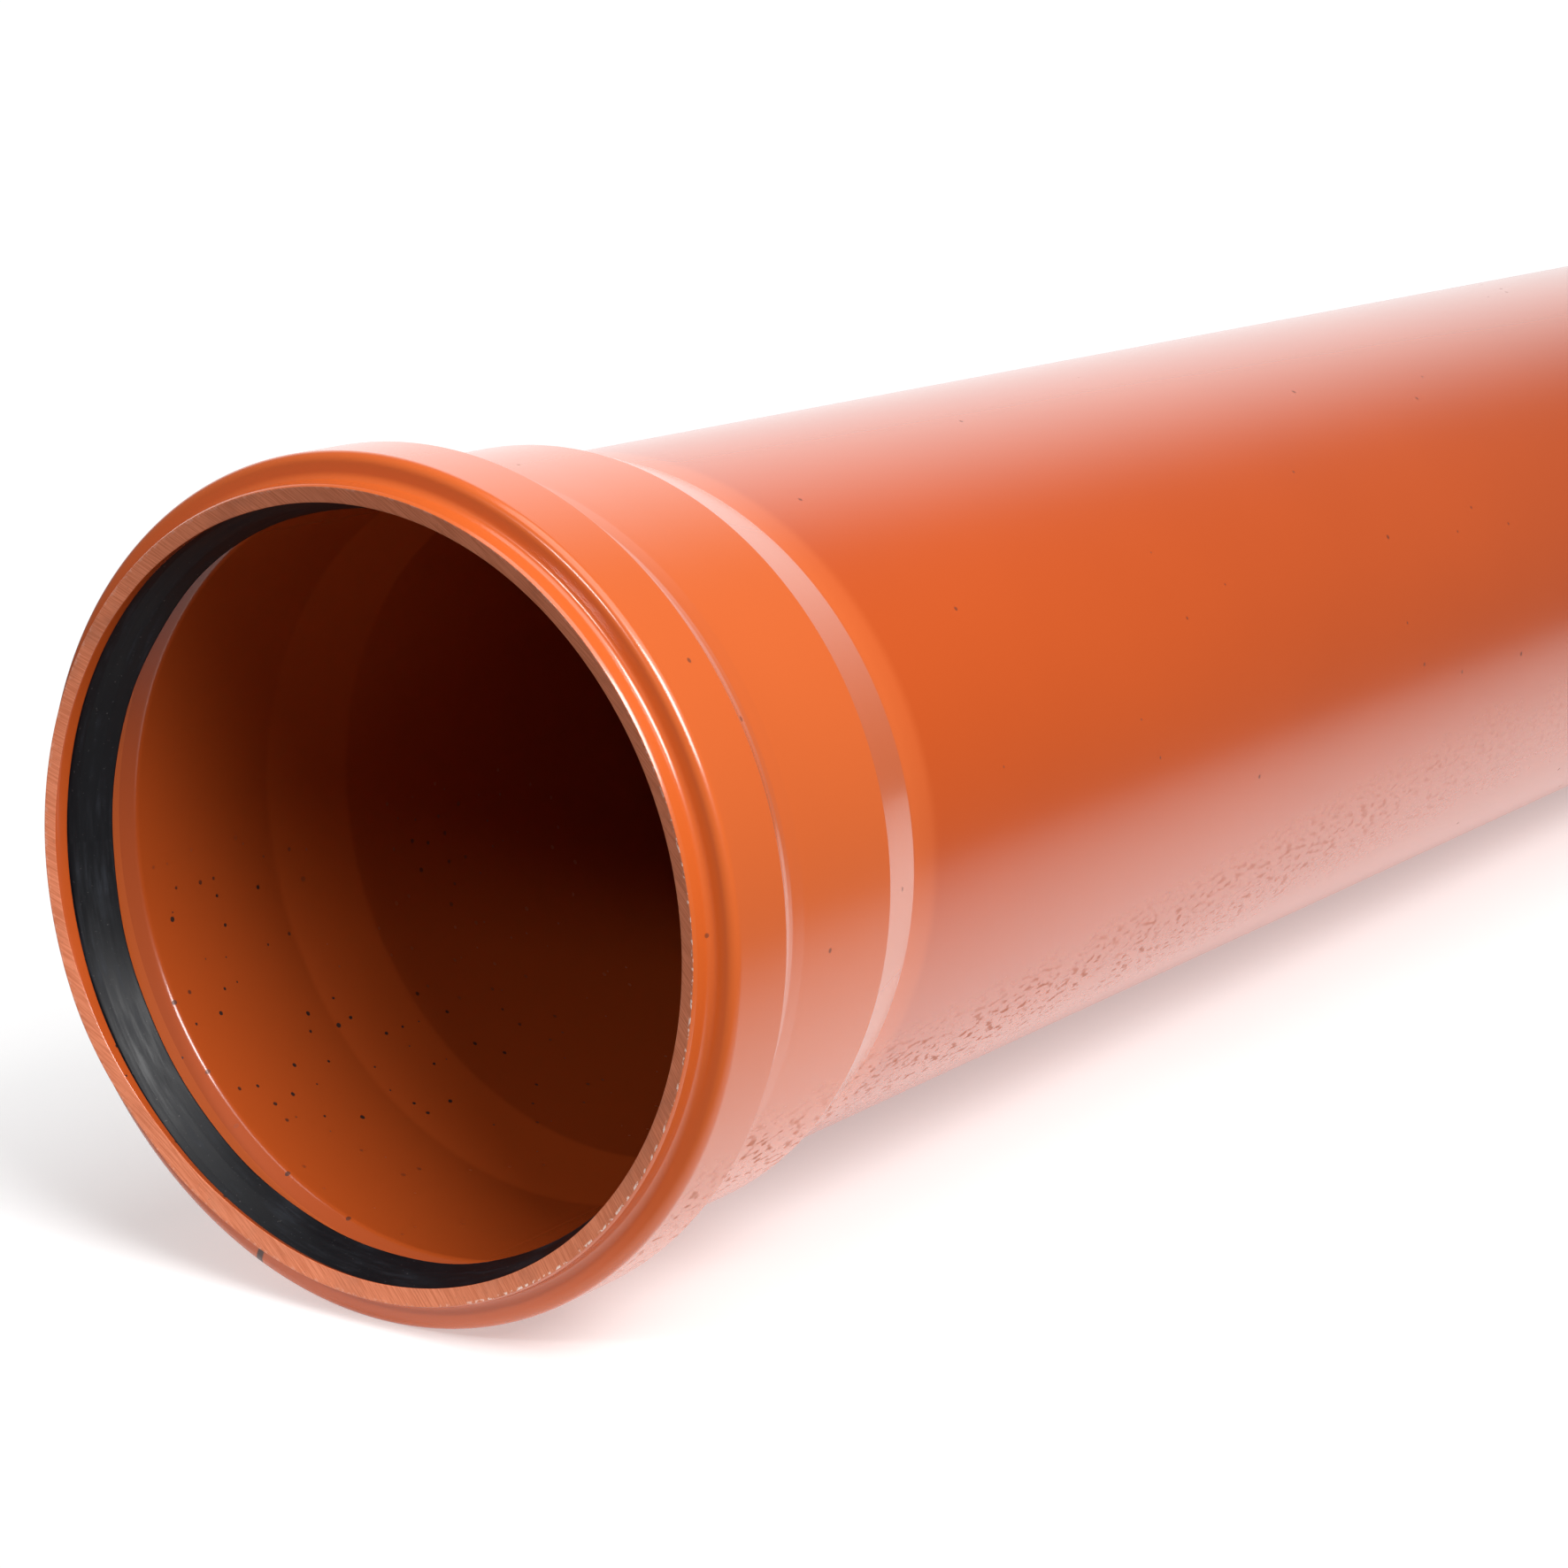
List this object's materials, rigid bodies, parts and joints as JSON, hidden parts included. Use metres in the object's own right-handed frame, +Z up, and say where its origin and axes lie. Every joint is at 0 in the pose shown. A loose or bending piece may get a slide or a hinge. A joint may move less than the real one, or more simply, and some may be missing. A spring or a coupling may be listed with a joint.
{
  "type": "pvc drain pipe",
  "caption": "Smooth round drainage pipe with an integral push-fit socket, a raised ring groove and a captive rubber lip seal; the far end is a chamfered spigot.",
  "frame": {"origin": "on the floor, under the middle of the pipe's bounding box", "axes": "+Y along the pipe from the socket's mouth to the spigot end, +Z up, +X across the pipe; the pipe's own axis dips 0.54 degrees below +Y because it rests on its ring bulge and its spigot end"},
  "size_m": [0.3544, 2.1664, 0.3549],
  "materials": {
    "pvc": "smooth extruded, satin gloss",
    "rubber": "matt black"
  },
  "bodies": {
    "root": {"pipe": "pvc", "seal_ring": "rubber"}
  },
  "joints": []
}
